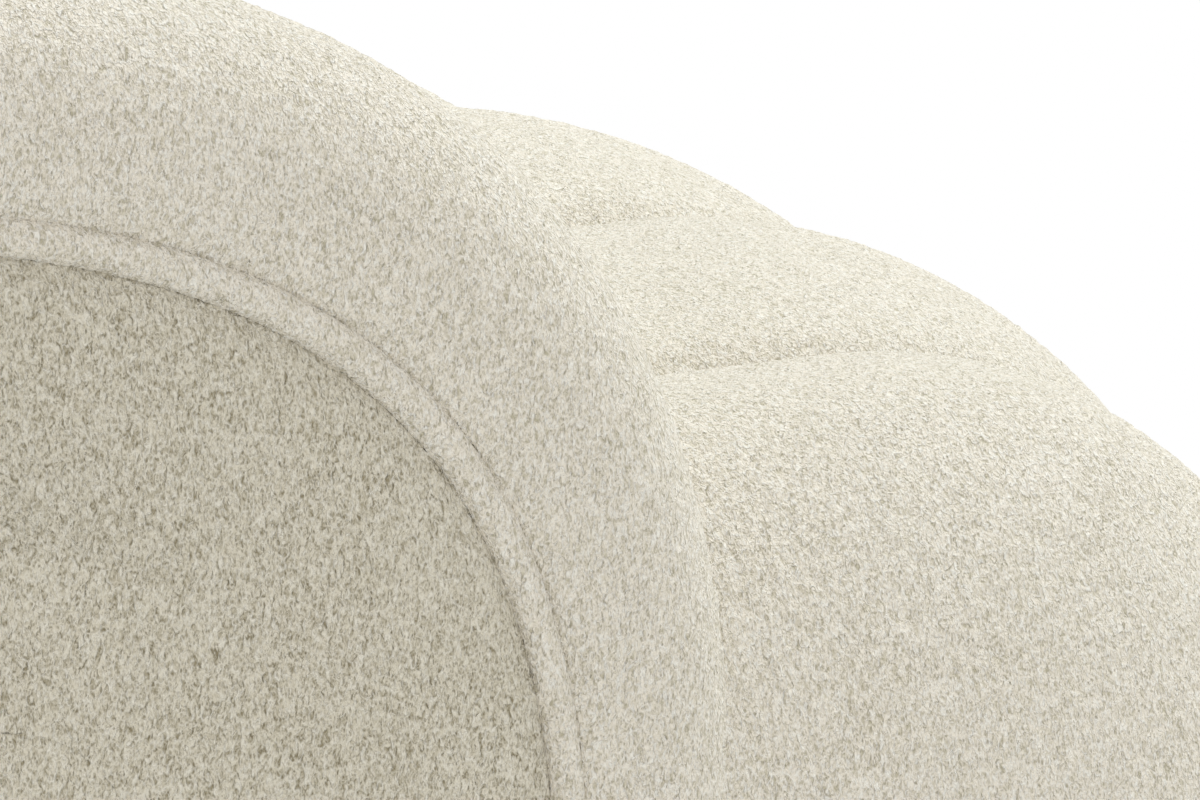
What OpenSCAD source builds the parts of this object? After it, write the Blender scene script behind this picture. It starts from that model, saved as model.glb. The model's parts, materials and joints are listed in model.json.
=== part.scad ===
// Tuxedo sofa: arms and back at one height, a channelled seat whose deep round nose
// runs the full width ahead of the arms, boxed arms with a welted side panel.
// Millimetres. X runs along the sofa, -Y is the front, +Z is up, the floor is z = 0.

/* [Overall] */
// Width of one seat channel, seam to seam
channel_w = 213; // [180:1:250]
// Thickness of an arm, welt crest to welt crest
arm_t = 174; // [155:1:200]
// Length of an arm, front edge to back edge
arm_len = 600; // [560:5:680]
// Height of the arms and back above the floor
arm_h = 619; // [590:1:680]
// Height of the seat crest above the floor
seat_top = 449; // [425:1:465]
// Height of the feet
foot_h = 55; // [45:1:75]

/* [Seat] */
// How far the seat nose stands ahead of the arms
nose_reach = 374; // [350:1:410]
// How far the two ends of the nose fall back in plan, in a curve
end_setback = 147; // [60:1:155]
// Length over which each end of the nose falls back
end_run = 524; // [450:2:600]
// Depth of the seam groove between two channels
groove_d = 15; // [6:1:22]
// Radius of the round-over at the two outer ends of the nose
end_round = 50; // [30:1:75]
// Thickness of the seat padding over the deck
seat_pad_t = 110; // [90:1:120]
// Depth of the nose padding behind its round front
nose_back = 16; // [8:1:30]

/* [Arms and back] */
// Radius of the front top corner of an arm
arm_corner_r = 260; // [180:2:280]
// Radius of the rear top corner of an arm
rear_corner_r = 70; // [50:1:110]
// Radius of the soft edge of the arms and back
edge_r = 57; // [35:1:64]
// Width of the band from the outline to the welt
band_w = 75; // [68:1:95]
// Width of the welt
welt_w = 9; // [6:0.5:14]
// How far the welt stands proud of the band
welt_proud = 3; // [1:0.5:5]
// Depth of the recess that holds a panel
panel_d = 10; // [9:0.5:14]
// Crown of a panel above its sewn edge
panel_crown = 4; // [1:0.5:6]
// Thickness of the back
back_t = 160; // [145:1:180]

/* [Back cushions] */
// Height of a back cushion
cushion_h = 330; // [280:5:380]
// Thickness of a back cushion
cushion_t = 165; // [140:1:180]
// Round-over at the sides of a back cushion
cushion_round = 36; // [20:1:42]
// Room between two back cushions
cushion_gap = 3; // [1:0.5:8]

/* [Frame] */
// Thickness of the timber rails
rail_t = 30; // [22:1:36]
// Thickness of the plywood boards
ply_t = 25; // [18:1:28]
// Height of the timber battens
batten_h = 55; // [40:1:65]
// Padding from an outline to the board inside
board_inset = 36; // [30:1:44]
// Padding over the sides of the battens
side_cover = 26; // [22:1:32]
// Thickness of the cloth under the base
dust_t = 3; // [2:0.5:4]
// Thickness of the felt on the springs
felt_t = 11; // [8:1:14]
// Diameter of the spring wire
wire_d = 3.5; // [3:0.1:4.5]
// Half width of a spring's waves
wave_a = 25; // [15:1:35]
// Length of one wave of a spring
wave_len = 72; // [60:1:90]
// Diameter of a foot at its top
foot_d = 64; // [52:1:72]
// Diameter of the bolts
bolt_d = 8; // [6:0.5:10]

/* [Hidden] */
$fn = 32;
seat_channels = 8;  // one node each
cushion_count = 4;  // one node each

// Clearances and overruns
gap = 0.3;          // a piece to its neighbour
seam_gap = 0.4;     // channel to channel
bolt_clear = 0.1;   // round a bolt
over = 1;           // overrun of cuts

// Places along the sofa
inner_half = seat_channels * channel_w / 2;
sofa_w = 2 * inner_half + 2 * arm_t;
arm_mid_x = inner_half + arm_t / 2;
pad_in_x = inner_half + welt_proud;
pad_out_x = inner_half + arm_t - welt_proud;
core_w = arm_t - 2 * side_cover;
core_in_x = arm_mid_x - core_w / 2;

// Heights
base_z = foot_h;
nose_r = (seat_top - base_z) / 2;
nose_z = base_z + nose_r;
deck_z = seat_top - seat_pad_t;
clip_t = 2;
rail_z = base_z + dust_t;
wire_z = deck_z - gap - felt_t - clip_t - wire_d;
rail_h = wire_z - rail_z;

// Places from front to back
sofa_d = nose_reach + arm_len;
front_y = -sofa_d / 2;
rear_y = sofa_d / 2;
nose_y = front_y + nose_r;
arm_front_y = front_y + nose_reach;
back_front_y = rear_y - back_t;
back_rear_y = rear_y - welt_proud;

// How far the nose falls back at a place along the sofa
function setback(x) =
  end_setback * pow(max(0, 1 - (sofa_w / 2 - abs(x)) / end_run), 2);

rail_face_y = nose_y + setback(inner_half) + nose_back;
rail_y = rail_face_y + gap;
back_rail_y = back_front_y - gap - rail_t;

// Steps of the round stretches and stations across a lobe, in degrees
nose_steps = 12;
corner_steps = 9;
edge_steps = 4;
lobe_angles = [-90, -62, -32, 0, 32, 62, 90];
end_angles = [25, 50, 70, 90];

// Timber block inside each end of the nose
block_drop = 40;
block_top_z = deck_z - block_drop;
block_x = [core_in_x, pad_out_x - edge_r];

// Board and battens of the back
back_mid_y = (back_front_y + back_rear_y) / 2;
back_core_w = back_t - welt_proud - 2 * side_cover;
back_half = pad_in_x - gap;
batten_end = 40;

// Corner pieces, cross rails, clips and springs
corner_leg = 70;
corner_h = 120;
cross_share = 0.34;
cross_drop = 40;
clip_w = 30;
clip_d = 16;
clip_hold = 24;
wave_points = 6;

// Feet, inserts and bolts
foot_taper = 8;
foot_hole_share = 0.6;
insert_r = 6.5;
insert_len = 16;
bolt_up = 14;
head_r = 8;
head_h = 5;
bolt_bite = 38;
bolt_end = 95;
foot_front_y = (nose_y + setback(arm_mid_x) + arm_front_y + board_inset) / 2;
foot_back_y = back_mid_y;
insert_cut_r = insert_r + bolt_clear;
bolt_r = bolt_d / 2;
bolt_hole_r = bolt_r + bolt_clear;

// Smallest corner of an inset outline, and the rear end of an arm's inner panel
min_corner_r = 14;
inner_lap = 18;
inner_rear_y = back_front_y - inner_lap + band_w;
back_corner_r = 40;

// Crown of a panel: shares of its rise, and of the band's width inward
crown_shares = [[0, 0], [0.5, 0.12], [0.85, 0.45], [1, 1.1]];

// Welt section: shares of its width and of its rise above the band
welt_shares = [[1, 0], [0.8, 0.75], [0.5, 1], [0.2, 0.75], [0, 0]];

// Back cushion outline: shares of its thickness from the front and of its height
cushion_shares = [
  [0.84, 0], [0.5, 0.004], [0.18, 0.012], [0.05, 0.06], [0, 0.17], [0.01, 0.34],
  [0.06, 0.55], [0.13, 0.74], [0.22, 0.9], [0.34, 0.985], [0.52, 1], [0.72, 0.995],
  [0.88, 0.95], [0.96, 0.86], [1, 0.68], [1, 0.4], [1, 0.16], [0.95, 0.05]];

// Shared shapes

// Points of an arc round (cy, cz)
function arc(cy, cz, r, a0, a1, n) =
  [for (i = [0:n]) let (a = a0 + (a1 - a0) * i / n) [cy + r * cos(a), cz + r * sin(a)]];

// Puts a Y-Z outline at one X
function at_x(x, outline) = [for (p = outline) [x, p[0], p[1]]];

// Skin over a row of rings; each end is closed by a fan from the ring's last point
module loft(rings) {
  m = len(rings[0]);
  n = len(rings);
  sides = [for (j = [0:n - 2], i = [0:m - 1]) let (a = j * m, b = a + m, k = (i + 1) % m)
    each [[a + i, a + k, b + k], [a + i, b + k, b + i]]];
  first = [for (i = [0:m - 3]) [m - 1, i + 1, i]];
  last = [for (i = [0:m - 3]) [n * m - 1, (n - 1) * m + i, (n - 1) * m + i + 1]];
  polyhedron(points = [for (r = rings) each r], faces = concat(sides, first, last));
}

// Child on the right, or its mirror image on the left
module on_side(side) {
  mirror([side < 0 ? 1 : 0, 0, 0]) children();
}

// Box between two corners
module box(low, high) {
  translate(low) cube(high - low);
}

// Prism with a Y-Z outline
module plate(outline, x, t) {
  translate([x, 0, 0]) rotate([90, 0, 90]) linear_extrude(t) polygon(outline);
}

// Seat

// Outline of a seat channel, drawn in by g: nose, then the padding over the deck
function channel_outline(x, g) = concat(
  [[rail_face_y, base_z + g]],
  arc(nose_y + setback(x), nose_z, nose_r - g, 270, 90, nose_steps),
  [[rail_face_y, seat_top - g], [back_front_y - gap, seat_top - g],
   [back_front_y - gap, deck_z], [rail_face_y, deck_z]]);

module seat_channel(k) {
  mid = (k - (seat_channels + 1) / 2) * channel_w;
  half = (channel_w - seam_gap) / 2;
  color("ivory")
    loft([for (a = lobe_angles) let (x = mid + half * sin(a))
      at_x(x, channel_outline(x, groove_d * (1 - cos(a))))]);
}

// Outline of the nose in front of an arm, drawn in by g
function end_outline(x, g) = concat(
  arc(nose_y + setback(x), nose_z, nose_r - g, 270, 90, nose_steps),
  [[arm_front_y - gap, seat_top - g], [arm_front_y - gap, base_z + g]]);

// Rings of a nose end: half a lobe, then the round outer end
function end_rings() = let (x0 = inner_half + seam_gap / 2, x1 = sofa_w / 2 - end_round)
  concat(
    [for (a = lobe_angles) if (a <= 0) let (x = x1 + (x1 - x0) * sin(a))
      at_x(x, end_outline(x, groove_d * (1 - cos(a))))],
    [for (a = end_angles) let (x = x1 + end_round * sin(a))
      at_x(x, end_outline(x, end_round * (1 - cos(a))))]);

// Plan of a nose block, grown by g: its front follows the setback
function block_plan(g) = [
  [block_x[0] - g, nose_y + setback(block_x[0]) - g],
  [block_x[1] + g, nose_y + setback(block_x[1]) - g],
  [block_x[1] + g, arm_front_y + board_inset - gap + g],
  [block_x[0] - g, arm_front_y + board_inset - gap + g]];

module seat_end(side) {
  color("ivory") on_side(side) difference() {
    loft(end_rings());
    translate([0, 0, base_z - over])
      linear_extrude(block_top_z + gap - base_z + over) polygon(block_plan(gap));
  }
}

module nose_block(side) {
  color("burlywood") on_side(side) difference() {
    translate([0, 0, base_z]) linear_extrude(block_top_z - base_z) polygon(block_plan(0));
    insert_hole(arm_mid_x, foot_front_y, base_z);
  }
}

// Arms

// Side outline of an arm, drawn in by d, from z up, ending at rear
function arm_outline(d, z, rear = rear_y) = let (
    rf = max(arm_corner_r - d, min_corner_r),
    rr = max(rear_corner_r - d, min_corner_r),
    top = arm_h - d)
  concat([[arm_front_y + d, z]],
    arc(arm_front_y + d + rf, top - rf, rf, 180, 90, corner_steps),
    arc(rear - d - rr, top - rr, rr, 90, 0, corner_steps),
    [[rear - d, z]]);

// Rings of the soft slab, inner face to outer face
function slab_rings() = concat(
  [for (i = [0:edge_steps]) let (a = 90 * i / edge_steps)
    at_x(pad_in_x + edge_r * (1 - cos(a)), arm_outline(edge_r * (1 - sin(a)), base_z))],
  [for (i = [0:edge_steps]) let (a = 90 - 90 * i / edge_steps)
    at_x(pad_out_x - edge_r * (1 - cos(a)), arm_outline(edge_r * (1 - sin(a)), base_z))]);

module arm_pad(side) {
  color("ivory") on_side(side) difference() {
    loft(slab_rings());
    plate(arm_outline(band_w, base_z - over), pad_out_x - panel_d, panel_d + over);
    plate(arm_outline(band_w, deck_z, inner_rear_y), pad_in_x - over, panel_d + over);
    plate(arm_outline(board_inset - gap, base_z - over), core_in_x - gap, core_w + 2 * gap);
    box([pad_in_x - over, arm_front_y + board_inset - gap, base_z - over],
      [core_in_x, back_front_y, base_z + batten_h + gap]);
    box([block_x[0] - gap, arm_front_y - over, base_z - over],
      [block_x[1] + gap, arm_front_y + board_inset, block_top_z + gap]);
  }
}

module arm_board(side) {
  color("burlywood") on_side(side) difference() {
    plate(arm_outline(board_inset, base_z), arm_mid_x - ply_t / 2, ply_t);
    insert_hole(arm_mid_x, foot_back_y, base_z);
  }
}

// Battens on both faces of an arm board: foot, middle and top
module arm_battens(side) {
  y0 = arm_front_y + board_inset;
  y1 = rear_y - board_inset;
  mid_z = arm_h - arm_corner_r - batten_h;
  top_z = arm_h - board_inset - batten_h;
  out_x = arm_mid_x + core_w / 2;
  in_x = arm_mid_x - ply_t / 2 - gap;
  color("peru") on_side(side) {
    difference() {
      box([inner_half, y0, base_z], [in_x, back_front_y - gap, base_z + batten_h]);
      side_bolt_holes();
    }
    box([arm_mid_x + ply_t / 2 + gap, y0, base_z], [out_x, y1, base_z + batten_h]);
    for (x = [[core_in_x, in_x], [arm_mid_x + ply_t / 2 + gap, out_x]]) {
      box([x[0], y0, mid_z], [x[1], y1, mid_z + batten_h]);
      box([x[0], y0 + arm_corner_r, top_z], [x[1], y1 - rear_corner_r, top_z + batten_h]);
    }
  }
}

// Panel with a crown, in the recess of an arm's outer face
function panel_rings(z, rear) = let (
    d = band_w + welt_w + gap,
    x0 = pad_out_x - panel_d + gap,
    x1 = pad_out_x - panel_crown)
  concat([at_x(x0, arm_outline(d, z, rear))],
    [for (s = crown_shares) at_x(x1 + s[0] * panel_crown, arm_outline(d + s[1] * band_w, z, rear))]);

// Section points of a welt at one point of its line
function welt_ring(i, z, rear) = let (
    x0 = pad_out_x - panel_d + gap,
    foot = [[0, x0], [1, x0]],
    crest = [for (s = welt_shares) [s[0], pad_out_x + s[1] * welt_proud]])
  [for (s = concat(foot, crest)) let (p = arm_outline(band_w + gap + s[0] * (welt_w - gap), z, rear)[i])
    [s[1], p[0], p[1]]];

module welt(z, rear) {
  points = len(arm_outline(0, z));
  loft([for (i = [0:points - 1]) welt_ring(i, z, rear)]);
}

// Turns the outer side of an arm into its inner side
module inward() {
  translate([2 * arm_mid_x, 0, 0]) mirror([1, 0, 0]) children();
}

module arm_outer_panel(side) {
  color("ivory") on_side(side) loft(panel_rings(base_z, rear_y));
}

module arm_inner_panel(side) {
  color("ivory") on_side(side) inward() loft(panel_rings(deck_z + gap, inner_rear_y));
}

module arm_outer_welt(side) {
  color("beige") on_side(side) welt(base_z, rear_y);
}

module arm_inner_welt(side) {
  color("beige") on_side(side) inward() welt(deck_z + gap, inner_rear_y);
}

// Back

// Section of the back slab with its two round top edges
function back_section() = concat(
  [[back_rear_y, base_z], [back_front_y, base_z]],
  arc(back_front_y + edge_r, arm_h - edge_r, edge_r, 180, 90, corner_steps),
  arc(back_rear_y - edge_r, arm_h - edge_r, edge_r, 90, 0, corner_steps));

// Outline of the back's rear panel in X-Z, from z up, drawn in by d
function back_outline(d, z) = let (
    r = max(back_corner_r - d, min_corner_r),
    w = back_half - band_w - d,
    top = arm_h - band_w - d)
  concat([[-w, z]],
    arc(-w + r, top - r, r, 180, 90, corner_steps),
    arc(w - r, top - r, r, 90, 0, corner_steps),
    [[w, z]]);

// Prism with an X-Z outline, from y to y + t
module back_plate(outline, y, t) {
  translate([0, y + t, 0]) rotate([90, 0, 0]) linear_extrude(t) polygon(outline);
}

module back_pad() {
  y0 = back_mid_y - back_core_w / 2 - gap;
  color("ivory") difference() {
    plate(back_section(), -back_half, 2 * back_half);
    box([-back_half - over, y0, base_z - over],
      [back_half + over, y0 + back_core_w + 2 * gap, arm_h - board_inset + gap]);
    box([-inner_half, back_front_y - over, base_z - over],
      [inner_half, back_mid_y, base_z + batten_h + gap]);
    back_plate(back_outline(0, base_z - over), back_rear_y - panel_d, panel_d + over);
  }
}

module back_board() {
  color("burlywood")
    box([-back_half, back_mid_y - ply_t / 2, base_z],
      [back_half, back_mid_y + ply_t / 2, arm_h - board_inset]);
}

// Battens on both faces of the back board: foot, middle and top
module back_battens() {
  faces = [[back_mid_y - back_core_w / 2, back_mid_y - ply_t / 2 - gap],
    [back_mid_y + ply_t / 2 + gap, back_mid_y + back_core_w / 2]];
  color("peru") {
    difference() {
      box([-inner_half + batten_end, back_front_y, base_z],
        [inner_half - batten_end, faces[0][1], base_z + batten_h]);
      back_bolt_holes();
    }
    box([-inner_half + batten_end, faces[1][0], base_z],
      [inner_half - batten_end, faces[1][1], base_z + batten_h]);
    for (z = [deck_z, arm_h - board_inset - batten_h], f = faces)
      box([-inner_half + batten_end, f[0], z], [inner_half - batten_end, f[1], z + batten_h]);
  }
}

module back_outer_panel() {
  color("ivory")
    back_plate(back_outline(welt_w + gap, base_z), back_rear_y - panel_d + gap, panel_d - gap);
}

module back_welt() {
  color("beige") difference() {
    back_plate(back_outline(gap, base_z), back_rear_y - panel_d + gap, panel_d - gap + welt_proud);
    back_plate(back_outline(welt_w, base_z - over), back_rear_y - panel_d, panel_d + welt_proud + over);
  }
}

// Back cushions

// Outline of a cushion, drawn in by g
function cushion_outline(g) = [for (s = cushion_shares)
  [back_front_y - gap - cushion_t + g + s[0] * (cushion_t - 2 * g),
   seat_top + gap + g + s[1] * (cushion_h - 2 * g)]];

module back_cushion(k) {
  pitch = 2 * inner_half / cushion_count;
  mid = (k - (cushion_count + 1) / 2) * pitch;
  half = (pitch - cushion_gap) / 2;
  angles = [0, 25, 50, 70, 90];
  color("ivory") loft(concat(
    [for (i = [0:len(angles) - 1]) let (a = angles[len(angles) - 1 - i])
      at_x(mid - half + cushion_round * (1 - sin(a)), cushion_outline(cushion_round * (1 - cos(a))))],
    [for (a = angles)
      at_x(mid + half - cushion_round * (1 - sin(a)), cushion_outline(cushion_round * (1 - cos(a))))]));
}

// Frame under the seat

rail_half = inner_half - gap;
side_rail_x = rail_half - rail_t;
side_y0 = rail_y + rail_t + gap;
side_y1 = back_rail_y - gap;
bolt_z = base_z + batten_h / 2;
side_bolt_ys = [arm_front_y + board_inset + bolt_end, side_y1 - bolt_end];
back_bolt_xs = [-inner_half + batten_end + bolt_end, -bolt_end, bolt_end,
  inner_half - batten_end - bolt_end];

module front_rail() {
  color("burlywood") difference() {
    box([-rail_half, rail_y, rail_z], [rail_half, rail_y + rail_t, wire_z]);
    insert_hole(0, rail_y + rail_t / 2, rail_z);
  }
}

module back_rail() {
  color("burlywood") difference() {
    box([-rail_half, back_rail_y, rail_z], [rail_half, back_rail_y + rail_t, wire_z]);
    insert_hole(0, back_rail_y + rail_t / 2, rail_z);
    back_bolt_holes();
  }
}

module side_rail(side) {
  color("burlywood") on_side(side) difference() {
    box([side_rail_x, side_y0, rail_z], [rail_half, side_y1, wire_z]);
    side_bolt_holes();
  }
}

module cross_rails() {
  color("peru") for (s = [-1, 1])
    translate([s * cross_share * inner_half - rail_t / 2, side_y0, rail_z])
      cube([rail_t, side_y1 - side_y0, rail_h - cross_drop]);
}

// Three-cornered blocks glued into the corners of the seat frame
module corner_blocks() {
  for (s = [-1, 1], y = [side_y0, side_y1])
    color("peru") on_side(s) translate([side_rail_x - gap, y, rail_z])
      linear_extrude(corner_h)
        polygon([[0, 0], [-corner_leg, 0], [0, y == side_y0 ? corner_leg : -corner_leg]]);
}

// Seat suspension

clip_ys = [rail_y + (rail_t - clip_d) / 2, back_rail_y + (rail_t - clip_d) / 2];
wire_y0 = clip_ys[0];
wire_y1 = clip_ys[1] + clip_d;
waves = floor((wire_y1 - wire_y0 - 2 * clip_hold) / wave_len);
wave_y0 = (wire_y0 + wire_y1 - waves * wave_len) / 2;

// Centre line of a spring: straight ends and a wave between
function wire_line() = concat([[0, wire_y0]],
  [for (i = [0:waves * wave_points])
    [wave_a * sin(360 * i / wave_points), wave_y0 + i * wave_len / wave_points]],
  [[0, wire_y1]]);

// Offset of a line to one side, point by point
function line_offset(line, w) = [for (i = [0:len(line) - 1]) let (
    a = line[max(i - 1, 0)], b = line[min(i + 1, len(line) - 1)], t = (b - a) / norm(b - a))
  line[i] + w * [t[1], -t[0]]];

module seat_springs() {
  line = wire_line();
  right = line_offset(line, wire_d / 2);
  left = line_offset(line, -wire_d / 2);
  n = len(line);
  color("silver") for (k = [1:seat_channels])
    translate([(k - (seat_channels + 1) / 2) * channel_w, 0, wire_z])
      linear_extrude(wire_d)
        polygon(concat(left, [for (i = [0:n - 1]) right[n - 1 - i]]));
}

// Clip over each end of each spring, down to the rail on both sides of the wire
module spring_clips() {
  for (k = [1:seat_channels], y = clip_ys)
    color("gray") translate([(k - (seat_channels + 1) / 2) * channel_w - clip_w / 2, y, wire_z])
      difference() {
        cube([clip_w, clip_d, wire_d + clip_t]);
        translate([(clip_w - wire_slot) / 2, -over, -over])
          cube([wire_slot, clip_d + 2 * over, wire_d + over + bolt_clear]);
      }
}
wire_slot = 3 * wire_d;

module deck_felt() {
  color("gainsboro")
    box([-rail_half, rail_y, deck_z - gap - felt_t], [rail_half, back_front_y - gap, deck_z - gap]);
}

module dust_cover() {
  color("dimgray") difference() {
    box([-rail_half, rail_y, base_z], [rail_half, back_rail_y + rail_t, rail_z]);
    for (y = [rail_y, back_rail_y])
      translate([0, y + rail_t / 2, base_z - over])
        cylinder(h = dust_t + 2 * over, r = insert_cut_r);
  }
}

// Feet and fasteners

module foot(x, y) {
  color("saddlebrown") translate([x, y, 0]) difference() {
    cylinder(h = foot_h, r1 = foot_d / 2 - foot_taper, r2 = foot_d / 2);
    translate([0, 0, foot_h * foot_hole_share])
      cylinder(h = foot_h, r = bolt_hole_r);
  }
}

// Every foot: place and the underside that it bolts to
foot_places = [
  [-arm_mid_x, foot_front_y, base_z], [arm_mid_x, foot_front_y, base_z],
  [-arm_mid_x, foot_back_y, base_z], [arm_mid_x, foot_back_y, base_z],
  [0, rail_y + rail_t / 2, rail_z], [0, back_rail_y + rail_t / 2, rail_z]];

module insert_hole(x, y, z) {
  translate([x, y, z - over]) cylinder(h = insert_len + bolt_up + over, r = insert_cut_r);
}

// Threaded inserts pressed into the timber over the feet
module foot_inserts() {
  color("goldenrod") for (p = foot_places) translate(p) difference() {
    cylinder(h = insert_len, r = insert_r);
    translate([0, 0, -over]) cylinder(h = insert_len + 2 * over, r = bolt_hole_r);
  }
}

module foot_bolts() {
  color("silver") for (p = foot_places) let (z = foot_h * foot_hole_share)
    translate([p[0], p[1], z]) cylinder(h = p[2] + insert_len - z, r = bolt_r);
}

// Bolts along X through a side rail into an arm
module side_bolt_holes() {
  for (y = side_bolt_ys) translate([side_rail_x - over, y, bolt_z]) rotate([0, 90, 0])
    cylinder(h = rail_t + bolt_bite + gap + over, r = bolt_hole_r);
}

// Bolts along Y through the back rail into the back
module back_bolt_holes() {
  for (x = back_bolt_xs) translate([x, back_rail_y - over, bolt_z]) rotate([-90, 0, 0])
    cylinder(h = rail_t + bolt_bite + gap + over, r = bolt_hole_r);
}

module frame_bolt() {
  translate([0, 0, -head_h]) cylinder(h = head_h, r = head_r);
  cylinder(h = rail_t + bolt_bite, r = bolt_r);
}

module frame_bolts() {
  color("silver") {
    for (s = [-1, 1], y = side_bolt_ys) on_side(s)
      translate([side_rail_x, y, bolt_z]) rotate([0, 90, 0]) frame_bolt();
    for (x = back_bolt_xs) translate([x, back_rail_y, bolt_z]) rotate([-90, 0, 0]) frame_bolt();
  }
}

// Pieces
seat_channel(1);  // seat_channel_1
seat_channel(2);  // seat_channel_2
seat_channel(3);  // seat_channel_3
seat_channel(4);  // seat_channel_4
seat_channel(5);  // seat_channel_5
seat_channel(6);  // seat_channel_6
seat_channel(7);  // seat_channel_7
seat_channel(8);  // seat_channel_8
seat_end(-1);  // seat_end_left
seat_end(1);  // seat_end_right
nose_block(-1);  // nose_block_left
nose_block(1);  // nose_block_right
arm_board(-1);  // arm_board_left
arm_board(1);  // arm_board_right
arm_battens(-1);  // arm_battens_left
arm_battens(1);  // arm_battens_right
arm_pad(-1);  // arm_pad_left
arm_pad(1);  // arm_pad_right
arm_outer_panel(-1);  // arm_outer_panel_left
arm_outer_panel(1);  // arm_outer_panel_right
arm_inner_panel(-1);  // arm_inner_panel_left
arm_inner_panel(1);  // arm_inner_panel_right
arm_outer_welt(-1);  // arm_outer_welt_left
arm_outer_welt(1);  // arm_outer_welt_right
arm_inner_welt(-1);  // arm_inner_welt_left
arm_inner_welt(1);  // arm_inner_welt_right
back_board();
back_battens();
back_pad();
back_outer_panel();
back_welt();
back_cushion(1);  // back_cushion_1
back_cushion(2);  // back_cushion_2
back_cushion(3);  // back_cushion_3
back_cushion(4);  // back_cushion_4
front_rail();
back_rail();
side_rail(-1);  // side_rail_left
side_rail(1);  // side_rail_right
cross_rails();
corner_blocks();
seat_springs();
spring_clips();
deck_felt();
dust_cover();
foot(-arm_mid_x, foot_front_y);  // foot_front_left
foot(arm_mid_x, foot_front_y);  // foot_front_right
foot(-arm_mid_x, foot_back_y);  // foot_back_left
foot(arm_mid_x, foot_back_y);  // foot_back_right
foot(0, rail_y + rail_t / 2);  // foot_middle_front
foot(0, back_rail_y + rail_t / 2);  // foot_middle_back
foot_bolts();
foot_inserts();
frame_bolts();
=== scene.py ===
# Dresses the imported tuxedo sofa: looped cream upholstery, timber, steel and cloth.
# Metres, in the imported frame: X along the sofa, -Y the front, +Z up.
import json
import math

import bmesh
import bpy
import numpy as np
from mathutils import Matrix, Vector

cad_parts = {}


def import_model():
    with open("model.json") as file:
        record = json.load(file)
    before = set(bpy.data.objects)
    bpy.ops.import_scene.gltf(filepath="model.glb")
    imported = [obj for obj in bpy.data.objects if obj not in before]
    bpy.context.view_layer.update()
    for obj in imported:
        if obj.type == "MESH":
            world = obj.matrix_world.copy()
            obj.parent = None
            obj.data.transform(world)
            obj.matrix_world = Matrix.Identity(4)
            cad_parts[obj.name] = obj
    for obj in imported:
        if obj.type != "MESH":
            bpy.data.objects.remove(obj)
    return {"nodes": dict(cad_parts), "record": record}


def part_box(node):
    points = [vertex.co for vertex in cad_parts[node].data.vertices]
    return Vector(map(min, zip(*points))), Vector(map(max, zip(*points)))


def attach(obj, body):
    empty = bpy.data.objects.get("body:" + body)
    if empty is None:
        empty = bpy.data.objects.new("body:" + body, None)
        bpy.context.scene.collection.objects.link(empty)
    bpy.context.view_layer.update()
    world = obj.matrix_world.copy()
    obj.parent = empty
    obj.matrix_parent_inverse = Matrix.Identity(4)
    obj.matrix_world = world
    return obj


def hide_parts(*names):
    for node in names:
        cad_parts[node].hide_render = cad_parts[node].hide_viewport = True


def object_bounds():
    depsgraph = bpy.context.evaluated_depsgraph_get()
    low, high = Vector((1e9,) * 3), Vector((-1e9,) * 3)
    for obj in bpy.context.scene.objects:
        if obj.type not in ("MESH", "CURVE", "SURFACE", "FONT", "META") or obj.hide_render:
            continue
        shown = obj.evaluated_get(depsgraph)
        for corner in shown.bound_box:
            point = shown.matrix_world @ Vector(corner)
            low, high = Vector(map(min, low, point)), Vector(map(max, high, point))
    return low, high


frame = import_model()
cad_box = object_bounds()

# Sizes read from the frame
channel_names = sorted(n for n in frame["nodes"] if n.startswith("seat_channel_"))
cushion_names = sorted(n for n in frame["nodes"] if n.startswith("back_cushion_"))
pad_low, pad_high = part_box("arm_pad_right")
end_low, end_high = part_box("seat_end_right")
panel_low, panel_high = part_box("arm_outer_panel_right")
inner_panel_rear_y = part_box("arm_inner_panel_right")[1][1]
back_low, back_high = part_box("back_pad")
back_panel_low, back_panel_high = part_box("back_outer_panel")
back_welt_low, back_welt_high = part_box("back_welt")
felt_low, felt_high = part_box("deck_felt")
seat_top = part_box(channel_names[len(channel_names) // 2])[1][2]

base_z = pad_low[2]
arm_h = pad_high[2]
arm_front_y = pad_low[1]
rear_y = pad_high[1]
pad_in_x = pad_low[0]
pad_out_x = pad_high[0]
sofa_half = end_high[0]
inner_half = end_low[0]
back_front_y = back_low[1]
back_rear_y = back_high[1]
deck_z = felt_high[2]
front_y = cad_box[0][1]
rail_face_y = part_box("front_rail")[0][1]
nose_r = (seat_top - base_z) / 2
nose_y = front_y + nose_r
nose_z = base_z + nose_r

# Shape of the upholstery
GROOVE_D = 0.030           # seam groove between two channels
PINCH_D = 0.020            # how far the stitches pull a seam in below the groove
PINCH_RUN = 0.026          # how wide that pull is
END_SETBACK = 0.147        # how far the ends of the nose fall back
END_RUN = 0.524            # length over which they fall back
END_ROUND = 0.090          # round-over at the outer ends of the nose
CORNER_R = 0.260           # front top corner of an arm, on its inner face
CORNER_LONG = 0.405        # the same corner on the outer face: along the top,
CORNER_TALL = 0.320        # down the front,
CORNER_POWER = 2.85        # and how full its curve is (2 is an ellipse)
REAR_R = 0.070             # rear top corner of an arm
BACK_R = 0.040             # top corners of the rear panel's recess
EDGE_R = 0.043             # soft edge of the arms and back
BAND_W = 0.066             # outline to welt
WELT_W = 0.009
WELT_FULL = 0.55           # how full the welt's round is (1 is a sine)
INNER_TRIM = 0.084         # band and welt of the solids, behind an inner panel
LAP = 0.0008               # how far the welt is sewn in under its neighbours
MIN_R = 0.014              # smallest corner of an inner outline
SEAM_DIP = 0.0030          # how far cloth dives into a sewn seam
SEAM_RUN = 0.012           # how wide that dive is
PANEL_CROWN = 0.006        # rise of a panel above its seam
SIDE_RUN = 0.090           # how far in the side panels rise
REAR_RUN = 0.100           # how far in the rear panel rises
PANEL_D = panel_high[0] - panel_low[0]
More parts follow.
